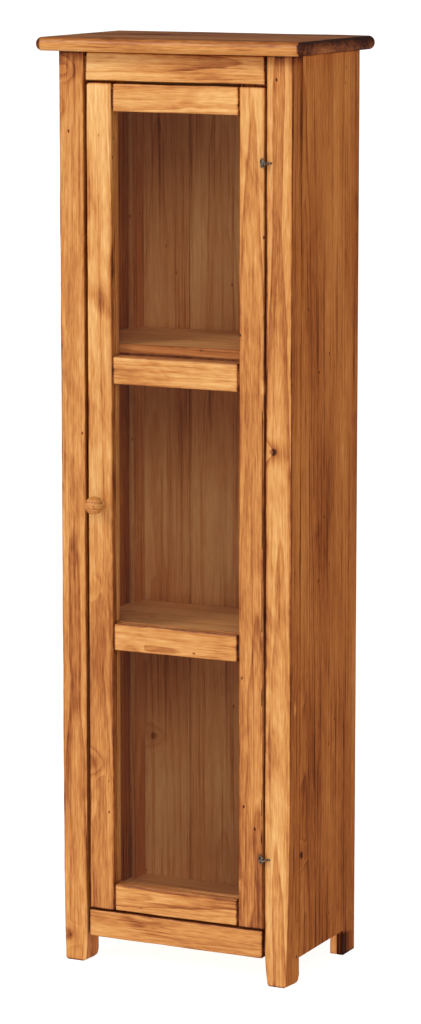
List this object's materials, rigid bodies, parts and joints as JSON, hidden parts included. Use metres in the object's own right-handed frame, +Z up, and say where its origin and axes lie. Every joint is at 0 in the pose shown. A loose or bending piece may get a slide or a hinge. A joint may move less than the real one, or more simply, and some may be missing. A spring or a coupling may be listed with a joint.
{
  "type": "pantry cabinet",
  "caption": "Tall narrow pantry cabinet in waxed pine with a glazed inset door, a turned knob, open shelves inside and a bullnosed top, standing on short feet.",
  "frame": {"origin": "on the floor, under the middle of the box that holds the whole cabinet with its knob", "axes": "+Z up; -Y out of the door, towards the person who opens it; +X to that person's right, the hinge side"},
  "size_m": [0.566, 0.36, 1.83],
  "materials": {
    "pine_front": "honey waxed pine, hand planed, satin",
    "pine_side": "darker red-brown waxed pine, satin",
    "pine_top": "waxed pine, browner on top, dark at the ends",
    "pine_inside": "brown stained pine, low sheen",
    "glass": "clear window glass",
    "iron": "dark forged iron wire",
    "steel": "plain steel screws"
  },
  "bodies": {
    "carcass": {"top_board": "pine_top", "top_screw_front_left": "steel", "top_screw_front_right": "steel", "top_screw_rear_left": "steel", "top_screw_rear_right": "steel", "left_post": "pine_front", "right_post": "pine_front", "left_side_panel": "pine_side", "right_side_panel": "pine_side", "left_rear_batten": "pine_inside", "right_rear_batten": "pine_inside", "apron": "pine_front", "bottom_rail": "pine_front", "back_board_1": "pine_inside", "back_board_2": "pine_inside", "back_board_3": "pine_inside", "back_board_4": "pine_inside", "rear_top_rail": "pine_inside", "rear_bottom_rail": "pine_inside", "floor_board": "pine_inside", "lower_shelf": "pine_inside", "upper_shelf": "pine_inside", "floor_cleat_left": "pine_inside", "floor_cleat_right": "pine_inside", "lower_shelf_cleat_left": "pine_inside", "lower_shelf_cleat_right": "pine_inside", "upper_shelf_cleat_left": "pine_inside", "upper_shelf_cleat_right": "pine_inside", "top_cleat_left": "pine_inside", "top_cleat_right": "pine_inside", "door_stop": "pine_inside", "upper_post_pin": "iron", "lower_post_pin": "iron"},
    "door": {"door_left_stile": "pine_front", "door_right_stile": "pine_front", "door_bottom_rail": "pine_front", "door_lower_rail": "pine_front", "door_upper_rail": "pine_front", "door_top_rail": "pine_front", "glass_lower": "glass", "glass_middle": "glass", "glass_upper": "glass", "bead_lower_left": "pine_inside", "bead_lower_right": "pine_inside", "bead_lower_below": "pine_inside", "bead_lower_above": "pine_inside", "bead_middle_left": "pine_inside", "bead_middle_right": "pine_inside", "bead_middle_below": "pine_inside", "bead_middle_above": "pine_inside", "bead_upper_left": "pine_inside", "bead_upper_right": "pine_inside", "bead_upper_below": "pine_inside", "bead_upper_above": "pine_inside", "upper_door_pin": "iron", "lower_door_pin": "iron"},
    "latch": {"knob": "pine_front", "latch_tongue": "pine_inside", "latch_peg": "pine_front"}
  },
  "joints": [
    {"name": "door_swing", "type": "hinge", "parent": "carcass", "child": "door", "pos_m": [0.19175, -0.1445, 0.92725], "axis": [0, 0, 1], "range_deg": [0, 180]},
    {"name": "latch_turn", "type": "hinge", "parent": "door", "child": "latch", "pos_m": [-0.1615, -0.136, 0.92725], "axis": [0, 1, 0], "range_deg": [0, 90]}
  ]
}
